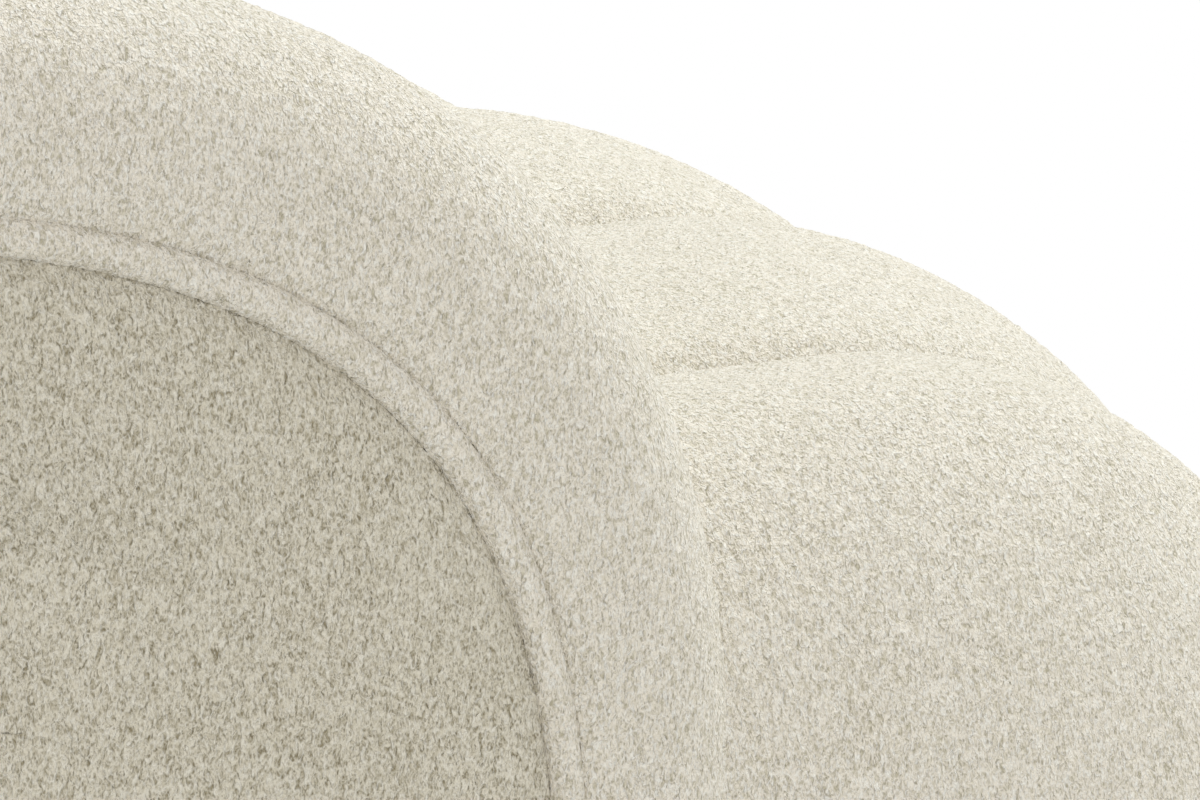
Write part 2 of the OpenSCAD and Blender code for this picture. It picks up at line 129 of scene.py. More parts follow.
GAP = 0.0006               # soft piece to its neighbour

# Steps of the meshes: fine where the photograph looks closely, coarse elsewhere
FINE = 0.0016
MEDIUM = 0.004
COARSE = 0.011
NEAR = (0.0018, 0.0022, 0.0028)    # the first three channels; the end lobe has the first

# Pile of the cloth
CURL = 0.0020              # length of one curl
CURL_H = 0.0013            # height of one curl
WELT_RISE = 0.0006         # welt above the band


# Materials

def new_material(name):
    mat = bpy.data.materials.new(name)
    mat.use_nodes = True
    nodes = mat.node_tree.nodes
    shader = nodes["Principled BSDF"]
    place = nodes.new("ShaderNodeTexCoord")
    return mat, mat.node_tree, shader, place.outputs["Object"]


def noise(tree, vector, scale, detail, rough=0.55, twist=0.0):
    node = tree.nodes.new("ShaderNodeTexNoise")
    node.inputs["Scale"].default_value = scale
    node.inputs["Detail"].default_value = detail
    node.inputs["Roughness"].default_value = rough
    node.inputs["Distortion"].default_value = twist
    tree.links.new(vector, node.inputs["Vector"])
    return node.outputs["Fac"]


def ramp(tree, value, stops):
    node = tree.nodes.new("ShaderNodeValToRGB")
    while len(node.color_ramp.elements) < len(stops):
        node.color_ramp.elements.new(0.5)
    for element, (position, colour) in zip(node.color_ramp.elements, stops):
        element.position = position
        element.color = (*colour, 1.0)
    tree.links.new(value, node.inputs["Fac"])
    return node.outputs["Color"]


def maths(tree, operation, a, b):
    """Result of a sum on two values, each of which is a number or a socket."""
    node = tree.nodes.new("ShaderNodeMath")
    node.operation = operation
    for socket, value in zip(node.inputs, (a, b)):
        if isinstance(value, (int, float)):
            socket.default_value = value
        else:
            tree.links.new(value, socket)
    return node.outputs["Value"]


def bump(tree, shader, height, distance, strength=1.0):
    node = tree.nodes.new("ShaderNodeBump")
    node.inputs["Strength"].default_value = strength
    node.inputs["Distance"].default_value = distance
    tree.links.new(height, node.inputs["Height"])
    tree.links.new(node.outputs["Normal"], shader.inputs["Normal"])


def teddy_material(name, pit_shade, mid, top, curl):
    """Short curly pile, drawn out in height: fine curls, painted shade that darkens and warms the crevices
    between them, and slow mottling.
    """
    mat, tree, shader, place = new_material(name)
    lean = tree.nodes.new("ShaderNodeMapping")
    lean.inputs["Scale"].default_value = (1.0, 1.0, 0.62)
    tree.links.new(place, lean.inputs["Vector"])
    leaning = lean.outputs["Vector"]
    curls = noise(tree, leaning, 1.4 / curl, detail=0.0, rough=0.5, twist=1.2)
    fluff = noise(tree, leaning, 2.6 / curl, detail=0.0, rough=0.5, twist=1.2)
    patches = noise(tree, place, 0.06 / curl, 3.0)
    height = maths(tree, "ADD", maths(tree, "MULTIPLY", curls, 0.6), maths(tree, "MULTIPLY", fluff, 0.4))
    tone = maths(tree, "ADD", height, maths(tree, "MULTIPLY", patches, 0.08))
    # The ramp paints shade into the pits between the curls: the pit colour is painted shade, darker and
    # warmer than the cream.
    tree.links.new(ramp(tree, tone, [(0.28, pit_shade), (0.54, mid), (0.74, top)]), shader.inputs["Base Color"])
    shader.inputs["Roughness"].default_value = 0.95
    shader.inputs["Specular IOR Level"].default_value = 0.12
    shader.inputs["Sheen Weight"].default_value = 0.15
    shader.inputs["Sheen Roughness"].default_value = 0.6
    bump(tree, shader, height, 0.9 * curl)
    return mat


def wood_material(name, dark, light, rough, grain=9.0):
    mat, tree, shader, place = new_material(name)
    stretch = tree.nodes.new("ShaderNodeMapping")
    stretch.inputs["Scale"].default_value = (1.2, grain, grain)
    tree.links.new(place, stretch.inputs["Vector"])
    rings = noise(tree, stretch.outputs["Vector"], 6.0, 6.0, 0.6)
    tree.links.new(ramp(tree, rings, [(0.35, dark), (0.68, light)]), shader.inputs["Base Color"])
    shader.inputs["Roughness"].default_value = rough
    bump(tree, shader, rings, 0.0006, 0.4)
    return mat


def metal_material(name, colour, rough):
    mat, tree, shader, place = new_material(name)
    grain = noise(tree, place, 900.0, 3.0)
    dark = tuple(0.85 * c for c in colour)
    tree.links.new(ramp(tree, grain, [(0.3, dark), (0.7, colour)]), shader.inputs["Base Color"])
    shader.inputs["Metallic"].default_value = 1.0
    shader.inputs["Roughness"].default_value = rough
    bump(tree, shader, grain, 0.0001, 0.3)
    return mat


def woven_material(name, dark, light, thread):
    """Plain close cloth of crossing threads."""
    mat, tree, shader, place = new_material(name)
    heights = []
    for axis in ("X", "Y"):
        wave = tree.nodes.new("ShaderNodeTexWave")
        wave.bands_direction = axis
        wave.inputs["Scale"].default_value = 0.16 / thread
        wave.inputs["Distortion"].default_value = 1.0
        tree.links.new(place, wave.inputs["Vector"])
        heights.append(wave.outputs["Fac"])
    weave = maths(tree, "MULTIPLY", heights[0], heights[1])
    tree.links.new(ramp(tree, weave, [(0.1, dark), (0.9, light)]), shader.inputs["Base Color"])
    shader.inputs["Roughness"].default_value = 0.95
    bump(tree, shader, weave, 0.0005, 0.6)
    return mat


# The pit colour is painted shade for the hollows between curls, darker and warmer than the cream pile.
PIT_SHADE = (0.50, 0.46, 0.34)
MID = (0.845, 0.79, 0.695)
TOP = (0.89, 0.87, 0.81)
# The panel colours are a darker copy of the cream pile, painted shade for the panels of the arms and back.
SHADED_PANEL_PIT = (0.28, 0.24, 0.15)
SHADED_PANEL_MID = (0.70, 0.652, 0.541)
SHADED_PANEL_TOP = (0.81, 0.775, 0.684)
teddy = teddy_material("cream_teddy", PIT_SHADE, MID, TOP, CURL)
finishes = {
    "teddy_fabric": teddy,
    # The panels' cloth is the cream pile painted darker, as painted shade.
    "teddy_panel": teddy_material("cream_teddy_shaded_panel", SHADED_PANEL_PIT, SHADED_PANEL_MID, SHADED_PANEL_TOP, CURL),
    "welt_fabric": teddy,
    "rail_timber": wood_material("softwood", (0.42, 0.26, 0.12), (0.66, 0.47, 0.27), 0.7),
    "plywood": wood_material("birch_plywood", (0.52, 0.36, 0.20), (0.72, 0.55, 0.35), 0.65, 5.0),
    "steel": metal_material("zinc_steel", (0.60, 0.60, 0.62), 0.32),
    "brass": metal_material("plain_brass", (0.72, 0.52, 0.22), 0.35),
    "felt": woven_material("grey_felt", (0.30, 0.29, 0.27), (0.48, 0.47, 0.44), 0.0012),
    "dust_cloth": woven_material("black_cloth", (0.008, 0.008, 0.009), (0.03, 0.03, 0.033), 0.0010),
    "foot_wood": wood_material("dark_oak", (0.030, 0.015, 0.008), (0.085, 0.045, 0.022), 0.35, 14.0),
}


# Meshes

def add_mesh(name, points, faces, slot, nodes, smooth=True):
    """A piece that stands for CAD nodes, with its finish and its body; the nodes are hidden."""
    mesh = bpy.data.meshes.new(name)
    mesh.from_pydata(np.array(points).tolist(), [], faces)
    mesh.validate()
    body = bmesh.new()
    body.from_mesh(mesh)
    if body.calc_volume(signed=True) < 0:
        mesh.flip_normals()
    body.free()
    if smooth:
        mesh.shade_smooth()
    mesh.materials.append(finishes[slot])
    piece = bpy.data.objects.new(name, mesh)
    bpy.context.scene.collection.objects.link(piece)
    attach(piece, "root")
    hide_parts(*nodes)
    return piece


def ring_faces(count, size):
    """Quads between closed rings, and a cap on each end."""
    faces = []
    for j in range(count - 1):
        a, b = j * size, (j + 1) * size
        for i in range(size):
            k = (i + 1) % size
            faces.append((a + i, b + i, b + k, a + k))
    faces.append(tuple(range(size)))
    faces.append(tuple(reversed(range((count - 1) * size, count * size))))
    return faces


def add_rings(name, rings, slot, nodes):
    """A padded piece whose skin runs over closed rings, with a cap on each end."""
    return add_mesh(name, rings.reshape(-1, 3), ring_faces(*rings.shape[:2]), slot, nodes)


def line(a, b, step, ends=(True, False)):
    """Evenly spaced places from a to b, about a step apart."""
    n = max(1, round(abs(b - a) / step))
    places = [a + (b - a) * i / n for i in range(n + 1)]
    return places[0 if ends[0] else 1:None if ends[1] else -1]


def pile(piece, strength):
    """Curls that stand up from the cloth, so that edges are woolly too."""
    texture = bpy.data.textures.new(piece.name + "_curls", "VORONOI")
    texture.noise_scale = CURL * 1.6
    texture.noise_intensity = 1.0
    raise_curls = piece.modifiers.new("curls", "DISPLACE")
    raise_curls.texture = texture
    raise_curls.texture_coords = "LOCAL"
    raise_curls.mid_level = 0.55
    raise_curls.strength = -strength


def side_name(side):
    return "right" if side > 0 else "left"


def mirrored(rings, side):
    """Rings built for the right side, turned to the side that is asked for."""
    if side > 0:
        return rings
    out = rings[:, ::-1].copy()
    out[:, :, 0] *= -1
    return out


# Seat

def corner_sizes(share):
    """Length, height and power of the front top corner, from inner face (0) to outer face (1)."""
    long = CORNER_R + (CORNER_LONG - CORNER_R) * share
    tall = CORNER_R + (CORNER_TALL - CORNER_R) * share
    return long, tall, 2 + (CORNER_POWER - 2) * share


def setback(x):
    return END_SETBACK * max(0.0, 1 - (sofa_half - abs(x)) / END_RUN) ** 2


def nose_arc(x, g, low_g, step):
    """Front of the nose from its foot to its top, drawn in by low_g below and g above."""
    r = nose_r
    n = max(12, round(math.pi * r / step))
    arc = []
    for a in np.linspace(1.5 * math.pi, 0.5 * math.pi, n + 1):
        reach = r - low_g - (g - low_g) * (1 + math.sin(a)) / 2
        arc.append((nose_y + setback(x) + reach * math.cos(a), nose_z + reach * math.sin(a)))
    return arc


def channel_outline(x, g, step):
    y0 = nose_y + setback(x)
    low = base_z + g
    high = seat_top - g
    back = back_front_y - GAP
    n = max(4, round((back - nose_y) / step))
    top = [(y0 + (back - y0) * i / n, high) for i in range(1, n + 1)]
    down = [(back, high + (deck_z - high) * i / 6) for i in range(1, 7)]
    ahead = [(back + (rail_face_y - back) * i / 20, deck_z) for i in range(1, 21)]
    front = [(rail_face_y, deck_z + (low - deck_z) * i / 12) for i in range(1, 13)]
    return nose_arc(x, g, g, step) + top + down + ahead + front


def rings_across(stations, outline, step):
    return np.array([[(x, y, z) for y, z in outline(x, g, step)] for x, g in stations])


def groove(a, from_seam):
    """Depth of a channel's surface below its crest: a round groove and the stitched pull."""
    return GROOVE_D * (1 - math.cos(a)) + PINCH_D * max(0.0, 1 - from_seam / PINCH_RUN) ** 2


def seat_channel(name):
    low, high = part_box(name)
    mid = (low[0] + high[0]) / 2
    half = (high[0] - low[0]) / 2
    step = dict(zip(channel_names, NEAR)).get(name, COARSE)
    angles = np.linspace(-math.pi / 2, math.pi / 2, max(24, round(2.4 * half / step)))
    stations = [(mid + half * math.sin(a), groove(a, half * (1 - abs(math.sin(a))))) for a in angles]
    rings = rings_across(stations, channel_outline, step)
    piece = add_rings(name + "_cover", rings, "teddy_fabric", [name])
    if step < COARSE:
        pile(piece, CURL_H)


END_BULGE = 0.036          # how far the end lobe swells into the arm's soft edge
END_EDGE = 0.007           # soft rear edge of the end lobe
FOOT_ROUND = 0.050         # round-over under the end lobe
END_DOME = 0.180           # how far in from its rim the outer end of the nose slopes
END_CROWN = 0.004          # crown of the middle of that end


def end_back(x, z):
    """Rear of the end lobe, which presses against the arm's rounded front."""
    w = sofa_half - x
    arm_w = min(EDGE_R, max(0.0, w - (sofa_half - pad_out_x)))
    share = min(1.0, max(0.0, (x - pad_in_x) / (pad_out_x - EDGE_R - pad_in_x)))
    outside = EDGE_R - math.sqrt(EDGE_R ** 2 - (EDGE_R - arm_w) ** 2)
    inside = EDGE_R * (1 - math.sqrt(1 - (1 - share) ** 2))
    swell = min(END_BULGE, max(outside, inside))
    long, tall, power = corner_sizes(share)
    rise = max(0.0, z - (arm_h - tall)) / tall
    swell += long * (1 - (1 - rise ** power) ** (1 / power))
    edge = max(0.0, 1 - w / END_EDGE)
    return arm_front_y + LAP + swell - END_EDGE * (1 - math.sqrt(1 - edge ** 2))


def end_outline(x, g, step):
    y0 = nose_y + setback(x)
    edge = max(0.0, 1 - (sofa_half - x) / FOOT_ROUND)
    low_g = FOOT_ROUND * (1 - math.sqrt(1 - edge ** 2))
    low = base_z + low_g
    high = seat_top - g
    n = max(4, round((arm_front_y - nose_y) / step))
    m = max(4, round(nose_r / step))
    high_back, low_back = end_back(x, high), end_back(x, low)
    top = [(y0 + (high_back - y0) * i / n, high) for i in range(1, n + 1)]
    heights = [high + (low - high) * i / m for i in range(1, m + 1)]
    down = [(end_back(x, z), z) for z in heights]
    under = [(low_back + (y0 - low_back) * i / n, low) for i in range(1, n)]
    return nose_arc(x, g, low_g, step) + top + down + under


def closing_rings(ring, crown, count):
    """Rings that run in from a ring to near its middle, with a slight crown along X."""
    centre = ring.mean(axis=0)
    out = []
    for i in range(1, count + 1):
        s = i / (count + 1)
        inner = centre + (ring - centre) * (1 - s)
        inner[:, 0] = ring[:, 0] + crown * math.sin(s * math.pi / 2)
        out.append(inner)
    return out


def seat_end(side):
    name = "seat_end_" + side_name(side)
    step = NEAR[0] if side < 0 else COARSE
    x0 = inner_half
    x1 = sofa_half - END_ROUND
    first = np.linspace(-math.pi / 2, 0, max(10, round(1.3 * (x1 - x0) / step)))
    second = np.linspace(0, math.pi / 2, max(8, round(1.2 * END_DOME / step)))[1:]
    stations = [(x1 + (x1 - x0) * math.sin(a), groove(a, (x1 - x0) * (1 + math.sin(a)))) for a in first]
    stations += [(x1 + (END_ROUND - END_CROWN) * math.sin(a), END_DOME * (1 - math.cos(a)))
                 for a in second]
    rings = rings_across(stations, end_outline, step)
    count = max(5, round((nose_r - END_DOME) / step))
    rings = np.concatenate([rings, np.array(closing_rings(rings[-1], END_CROWN, count))])
    rings = mirrored(rings, side)
    piece = add_rings(name + "_cover", rings, "teddy_fabric", [name])
    if step < COARSE:
        pile(piece, CURL_H)


for channel in channel_names:
    seat_channel(channel)
for side in (-1, 1):
    seat_end(side)


# Arms

def outline_counts(fine):
    """Points on the front edge, front corner, top, rear corner and rear edge of an arm."""
    if fine:
        return 130, 270, 80, 20, 40
    return 22, 36, 20, 12, 30


def corner_curve(d, share, count):
    """Even steps round the front top corner: (how far behind the front, how far below the top)."""
    long, tall, power = corner_sizes(share)
    t = np.linspace(0, math.pi / 2, 600)
    back = (long - d) * (1 - np.cos(t) ** (2 / power))
    down = (tall - d) * (1 - np.sin(t) ** (2 / power))
    run = np.concatenate([[0], np.cumsum(np.hypot(np.diff(back), np.diff(down)))])
    steps = np.linspace(0, run[-1], count, endpoint=False)
    return zip(np.interp(steps, run, back).tolist(), np.interp(steps, run, down).tolist())


def arm_outline(d, foot_z, rear, counts, share):
    """Side outline of an arm drawn in by d, from its front foot over the top to its rear foot."""
    long, tall, _ = corner_sizes(share)
    rr = max(REAR_R - d, MIN_R)
    top = arm_h - d
    front = arm_front_y + d
    a, b, c, e, f = counts
    points = [(front, foot_z + (arm_h - tall - foot_z) * i / a) for i in range(a)]
    points += [(front + back, top - down) for back, down in corner_curve(d, share, b)]
    y0, y1 = arm_front_y + long, rear - d - rr
    points += [(y0 + (y1 - y0) * (i / c) ** 1.6, top) for i in range(c)]
    points += [(y1 + rr * math.sin(t), top - rr + rr * math.cos(t))
               for t in np.linspace(0, math.pi / 2, e, endpoint=False)]
    points += [(rear - d, top - rr + (foot_z - top + rr) * i / f) for i in range(f + 1)]
    return points


inner_rear_y = inner_panel_rear_y + INNER_TRIM


def band_half(step, width):
    """One side of the band's section, seam to top: (how far in from the face, inset)."""
    flat = [(SEAM_DIP * (1 - min(1, (BAND_W - d) / SEAM_RUN)) ** 2, d)
            for d in line(BAND_W, EDGE_R, step)]
    n = max(6, round((EDGE_R + width) / 2 * math.pi / 2 / step))
    arc = [(width * (1 - math.cos(a)), EDGE_R * (1 - math.sin(a)))
           for a in np.linspace(0, math.pi / 2, n + 1)]
    return [(PANEL_D, BAND_W)] + flat + arc


def arm_pad(side):
    fine = side < 0
    step = FINE if fine else COARSE
    counts = outline_counts(fine)
    name = "arm_pad_" + side_name(side)
    columns = []
    slope = pad_out_x - EDGE_R - pad_in_x
    for depth, d in band_half(step, slope)[:-1]:
        rear = inner_rear_y if d >= BAND_W - 1e-6 else rear_y
        share = min(1.0, depth / slope)
        columns.append([(pad_in_x + depth, y, z) for y, z in arm_outline(d, base_z, rear, counts, share)])
    for depth, d in reversed(band_half(step, EDGE_R)):
        columns.append([(pad_out_x - depth, y, z) for y, z in arm_outline(d, base_z, rear_y, counts, 1)])
    rings = mirrored(np.array(columns).transpose(1, 0, 2), side)
    piece = add_rings(name + "_cover", rings, "teddy_fabric", [name])
    if fine:
        pile(piece, CURL_H)


def face_x(side_of_arm, depth):
    """X of a place so far in from an arm's outer or inner face."""
    return pad_out_x - depth if side_of_arm == "outer" else pad_in_x + depth


def arm_face(side, face):
    """Whether a face is near the camera, and what arm_outline needs for it after the inset."""
    fine = side < 0 and face == "outer"
    if face == "outer":
        return fine, base_z, rear_y, outline_counts(fine), 1
    return fine, deck_z + GAP, inner_rear_y, outline_counts(fine), 0


def welt_section(root, count):
    """Section of a welt: (depth below the band, share of its width), from root to root."""
    crest = []
    for i in range(1, count):
        lift = (SEAM_DIP + WELT_RISE) * math.sin(math.pi * i / count) ** WELT_FULL
        crest.append((SEAM_DIP - lift, i / count))
    return [(root, 0.0), (SEAM_DIP, 0.0)] + crest + [(SEAM_DIP, 1.0), (root, 1.0)]


def arm_welt(side, face):
    fine, foot_z, rear, counts, share = arm_face(side, face)
    columns = []
    for depth, s in welt_section(PANEL_D - GAP, 10 if fine else 6):
        outline = arm_outline(BAND_W - LAP + s * (WELT_W + 2 * LAP), foot_z, rear, counts, share)
        columns.append([(face_x(face, depth), y, z) for y, z in outline])
    if face == "inner":
        columns.reverse()
    rings = mirrored(np.array(columns).transpose(1, 0, 2)[:, ::-1], side)
    name = f"arm_{face}_welt_{side_name(side)}"
    piece = add_rings(name + "_cover", rings, "welt_fabric", [name])
    if fine:
        pile(piece, CURL_H * 0.6)


def arm_panel(side, face):
    fine, foot_z, rear, counts, share = arm_face(side, face)
    start = BAND_W + WELT_W
    step = FINE if fine else COARSE
    insets = line(0, SIDE_RUN, step, (True, True))
    insets += line(SIDE_RUN, SIDE_RUN + 0.05, max(step * 3, MEDIUM), (False, True))
    outline = arm_outline(start, foot_z, rear, counts, share)
    columns = [[(face_x(face, PANEL_D - GAP), y, z) for y, z in outline]]
    for inset in insets:
        dive = SEAM_DIP * (1 - min(1, inset / SEAM_RUN)) ** 2
        lift = PANEL_CROWN * math.sin(min(1, inset / SIDE_RUN) * math.pi / 2) - 0.001
        inner_share = share * max(0, 1 - inset / SIDE_RUN)
        columns.append([(face_x(face, dive - lift), y, z)
                        for y, z in arm_outline(start + inset, foot_z, rear, counts, inner_share)])
    rings = np.array(columns)
    if face == "inner":
        rings = rings[:, ::-1]
    rings = mirrored(rings, side)
    name = f"arm_{face}_panel_{side_name(side)}"
    # Its cloth is the cream pile painted darker, as painted shade.
    piece = add_rings(name + "_cover", rings, "teddy_panel", [name])
    if fine:
        pile(piece, CURL_H)


for side in (-1, 1):
    arm_pad(side)
    for face in ("outer", "inner"):
        arm_welt(side, face)
        arm_panel(side, face)


# Back

def back_recess_top(x):
    """Top of the rear panel's recess at a place along the back."""
    w = back_welt_high[0]
    top = back_welt_high[2]
    if abs(x) >= w:
        return base_z + GAP
    across = max(0.0, abs(x) - (w - BACK_R))
    return top - BACK_R + math.sqrt(max(0.0, BACK_R ** 2 - across ** 2))


def back_ring(x, g):
    inside = abs(x) < back_welt_high[0] - 1e-6
    floor_y = back_rear_y - PANEL_D if inside else back_rear_y
    edge = back_recess_top(x)
    top = arm_h - g
    rear = back_rear_y - (0 if inside else g)
    front = back_front_y + g
    points = [(floor_y, base_z), (floor_y, edge)]
    points += [(rear, edge + (top - EDGE_R - edge) * i / 8) for i in range(9)]
    points += [(rear - EDGE_R * (1 - math.cos(a)), top - EDGE_R + EDGE_R * math.sin(a))
               for a in np.linspace(0, math.pi / 2, 13)[1:]]
    y0, y1 = rear - EDGE_R, front + EDGE_R
    points += [(y0 + (y1 - y0) * i / 5, top) for i in range(1, 5)]
    points += [(front + EDGE_R * (1 - math.sin(a)), top - EDGE_R + EDGE_R * math.cos(a))
               for a in np.linspace(0, math.pi / 2, 13)]
    points += [(front, top - EDGE_R + (base_z - top + EDGE_R) * i / 30) for i in range(1, 31)]
    return [(x, y, z) for y, z in points]


def back_pad():
    half = back_high[0]
    w = back_welt_high[0]
    soft = 0.010
    slit = 0.0004
    rights = line(0, w - BACK_R, 0.02) + line(w - BACK_R, w - slit, 0.0025, (True, True))
    rights += [w + slit] + line(w + 0.002, half - soft, 0.008)
    stations = [(x, 0.0) for x in rights]
    stations += [(half - soft * (1 - math.sin(a)), soft * (1 - math.cos(a)))
                 for a in np.linspace(0, math.pi / 2, 6)]
    stations = [(-x, g) for x, g in reversed(stations[1:])] + stations
    rings = np.array([back_ring(x, g) for x, g in stations])[:, ::-1]
    add_rings("back_pad_cover", rings, "teddy_fabric", ["back_pad"])


def back_outline(w, top, d):
    """Outline of the rear panel in X-Z, drawn in by d."""
    r = max(BACK_R - d, MIN_R)
    w, top = w - d, top - d
    points = [(-w, base_z + (top - r - base_z) * i / 24) for i in range(24)]
    points += [(-w + r * (1 - math.cos(a)), top - r + r * math.sin(a))
               for a in np.linspace(0, math.pi / 2, 9)]
    points += [(-w + r + 2 * (w - r) * i / 90, top) for i in range(1, 90)]
    points += [(w - r * (1 - math.sin(a)), top - r + r * math.cos(a))
               for a in np.linspace(0, math.pi / 2, 9)]
    points += [(w, top - r + (base_z - top + r) * i / 24) for i in range(1, 25)]
    return points


def back_panel():
    w, top = back_panel_high[0], back_panel_high[2]
    y0 = back_panel_low[1] + GAP
    columns = [[(x, y0, z) for x, z in back_outline(w, top, 0)]]
    for inset in line(0, REAR_RUN, 0.008, (True, True)):
        dive = SEAM_DIP * (1 - min(1, inset / SEAM_RUN)) ** 2
        lift = PANEL_CROWN * math.sin(inset / REAR_RUN * math.pi / 2) - 0.004
        columns.append([(x, back_rear_y - dive + lift, z) for x, z in back_outline(w, top, inset)])
    rings = np.array(columns)[:, ::-1]
    # Its cloth is the cream pile painted darker, as painted shade.
    add_rings("back_outer_panel_cover", rings, "teddy_panel", ["back_outer_panel"])


def back_welt():
    w, top = back_welt_high[0] - GAP, back_welt_high[2] - GAP
    root = back_rear_y - back_welt_low[1] - GAP
    columns = [[(x, back_rear_y - depth, z) for x, z in back_outline(w, top, s * (WELT_W - 2 * GAP))]
               for depth, s in welt_section(root, 6)]
    rings = np.array(columns).transpose(1, 0, 2)
    add_rings("back_welt_cover", rings, "welt_fabric", ["back_welt"])


back_pad()
back_panel()
back_welt()


# Back cushions

# Places round a cushion's section, as shares of its thickness and height
CUSHION_SHARES = [
    (0.84, 0), (0.5, 0.004), (0.18, 0.012), (0.05, 0.06), (0, 0.17), (0.01, 0.34),
    (0.06, 0.55), (0.13, 0.74), (0.22, 0.9), (0.34, 0.985), (0.52, 1), (0.72, 0.995),
    (0.88, 0.95), (0.96, 0.86), (1, 0.68), (1, 0.4), (1, 0.16), (0.95, 0.05)]


def smooth_loop(points, per_span):
    """Closed smooth curve through points."""
    p = np.array(points, float)
    n = len(p)
    out = []
    for i in range(n):
        p0, p1, p2, p3 = p[i - 1], p[i], p[(i + 1) % n], p[(i + 2) % n]
        for k in range(per_span):
            t = k / per_span
            out.append(0.5 * (2 * p1 + (p2 - p0) * t + (2 * p0 - 5 * p1 + 4 * p2 - p3) * t * t
                              + (3 * p1 - p0 - 3 * p2 + p3) * t ** 3))
    return np.clip(np.array(out), 0, 1)


CUSHION_ROUND = 0.030      # round-over at the two ends of a cushion
CUSHION_START = 0.93       # size of the form before it is blown up
VOXEL = 0.006              # size of the cloth's faces
FRAMES = 20                # length of the simulation
PUFF = 3.0                 # pressure
STRETCH = 0.02             # slack of the cloth
MOST = 0.030               # most that a point may move


def cushion_form(size):
    """Closed loft of a plain cushion, centred in X, that leans back."""
    half = size[0] / 2
    curve = smooth_loop(CUSHION_SHARES, 4)
    plain = line(0, half - CUSHION_ROUND, 0.014)
    stations = [(x, 0.0) for x in plain]
    stations += [(half - CUSHION_ROUND * (1 - math.sin(a)), CUSHION_ROUND * (1 - math.cos(a)))
                 for a in np.linspace(0, math.pi / 2, 10)]
    stations = [(-x, g) for x, g in reversed(stations[1:])] + stations
    rings = np.array([np.stack([np.full(len(curve), x), g + curve[:, 0] * (size[1] - 2 * g),
                                g + curve[:, 1] * (size[2] - 2 * g)], axis=-1) for x, g in stations])
    return rings.reshape(-1, 3), ring_faces(*rings.shape[:2])


def positions(mesh):
    out = np.empty(len(mesh.vertices) * 3)
    mesh.vertices.foreach_get("co", out)
    return out.reshape(-1, 3)


def blown_up(points, faces):
    """Points and faces of a closed form after a short cloth simulation under pressure."""
    scene = bpy.context.scene
    mesh = bpy.data.meshes.new("form")
    mesh.from_pydata(points.tolist(), [], faces)
    form = bpy.data.objects.new("form", mesh)
    scene.collection.objects.link(form)
    remesh = form.modifiers.new("voxels", "REMESH")
    remesh.mode = "VOXEL"
    remesh.voxel_size = VOXEL
    shaped = form.evaluated_get(bpy.context.evaluated_depsgraph_get())
    skin = bpy.data.meshes.new_from_object(shaped)
    bpy.data.objects.remove(form)
    soft = bpy.data.objects.new("soft", skin)
    scene.collection.objects.link(soft)
    cloth = soft.modifiers.new("cloth", "CLOTH")
    cloth.settings.use_pressure = True
    cloth.settings.uniform_pressure_force = PUFF
    cloth.settings.effector_weights.gravity = 0
    cloth.settings.shrink_min = -STRETCH
    cloth.point_cache.frame_start = 1
    cloth.point_cache.frame_end = FRAMES
    for frame_number in range(1, FRAMES + 1):
        scene.frame_set(frame_number)
    start = positions(skin)
    end = positions(soft.evaluated_get(bpy.context.evaluated_depsgraph_get()).to_mesh())
    move = end - start
    length = np.linalg.norm(move, axis=1, keepdims=True)
    move *= np.minimum(1, MOST / np.maximum(length, 1e-9))
    skin_faces = [tuple(face.vertices) for face in skin.polygons]
    bpy.data.objects.remove(soft)
    scene.frame_set(1)
    return start + move, skin_faces


def cushion_shape(size):
    """Points, as shares of the box that they fill, and faces of one cushion."""
    points, faces = cushion_form(size * CUSHION_START)
    points, faces = blown_up(points, faces)
    low, high = points.min(axis=0), points.max(axis=0)
    return (points - low) / (high - low), faces


def back_cushion(name, shares, faces, turned):
    """A cushion that fills its box, mirrored along X where that is asked for."""
    low, high = (np.array(c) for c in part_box(name))
    shares = shares.copy()
    if turned:
        shares[:, 0] = 1 - shares[:, 0]
        faces = [tuple(reversed(face)) for face in faces]
    points = low + GAP + shares * (high - low - 2 * GAP)
    add_mesh(name + "_cover", points, faces, "teddy_fabric", [name])


first_low, first_high = (np.array(c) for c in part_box(cushion_names[0]))
cushion_shares, cushion_faces = cushion_shape(first_high - first_low)
for number, cushion in enumerate(cushion_names):
    back_cushion(cushion, cushion_shares, cushion_faces, number % 2 == 1)


# Cloth under the base and felt on the springs

def slab(name, low, high, slot, nodes, step, ripple=0.0):
    """Thin closed slab with soft ripples."""
    xs = line(low[0], high[0], step, (True, True))
    ys = line(low[1], high[1], step, (True, True))
    points = []
    for level, z in enumerate((low[2], high[2])):
        for y in ys:
            for x in xs:
                wave = ripple * (math.sin(23 * x + 5 * y) * math.sin(17 * y - 3 * x) + 1) / 2
                points.append((x, y, z + (wave if level == 0 else 0)))
    nx, ny = len(xs), len(ys)
    faces = []
    for j in range(ny - 1):
        for i in range(nx - 1):
            a = j * nx + i
            b = a + nx * ny
            faces.append((a, a + nx, a + nx + 1, a + 1))
            faces.append((b, b + 1, b + nx + 1, b + nx))
    rim = list(range(nx)) + [j * nx + nx - 1 for j in range(1, ny)]
    rim += [(ny - 1) * nx + i for i in range(nx - 2, -1, -1)] + [j * nx for j in range(ny - 2, 0, -1)]
    for i, a in enumerate(rim):
        b = rim[(i + 1) % len(rim)]
        faces.append((a, b, b + nx * ny, a + nx * ny))
    return add_mesh(name, points, faces, slot, nodes, smooth=False)


slab("deck_felt_cover", felt_low, felt_high, "felt", ["deck_felt"], 0.05)

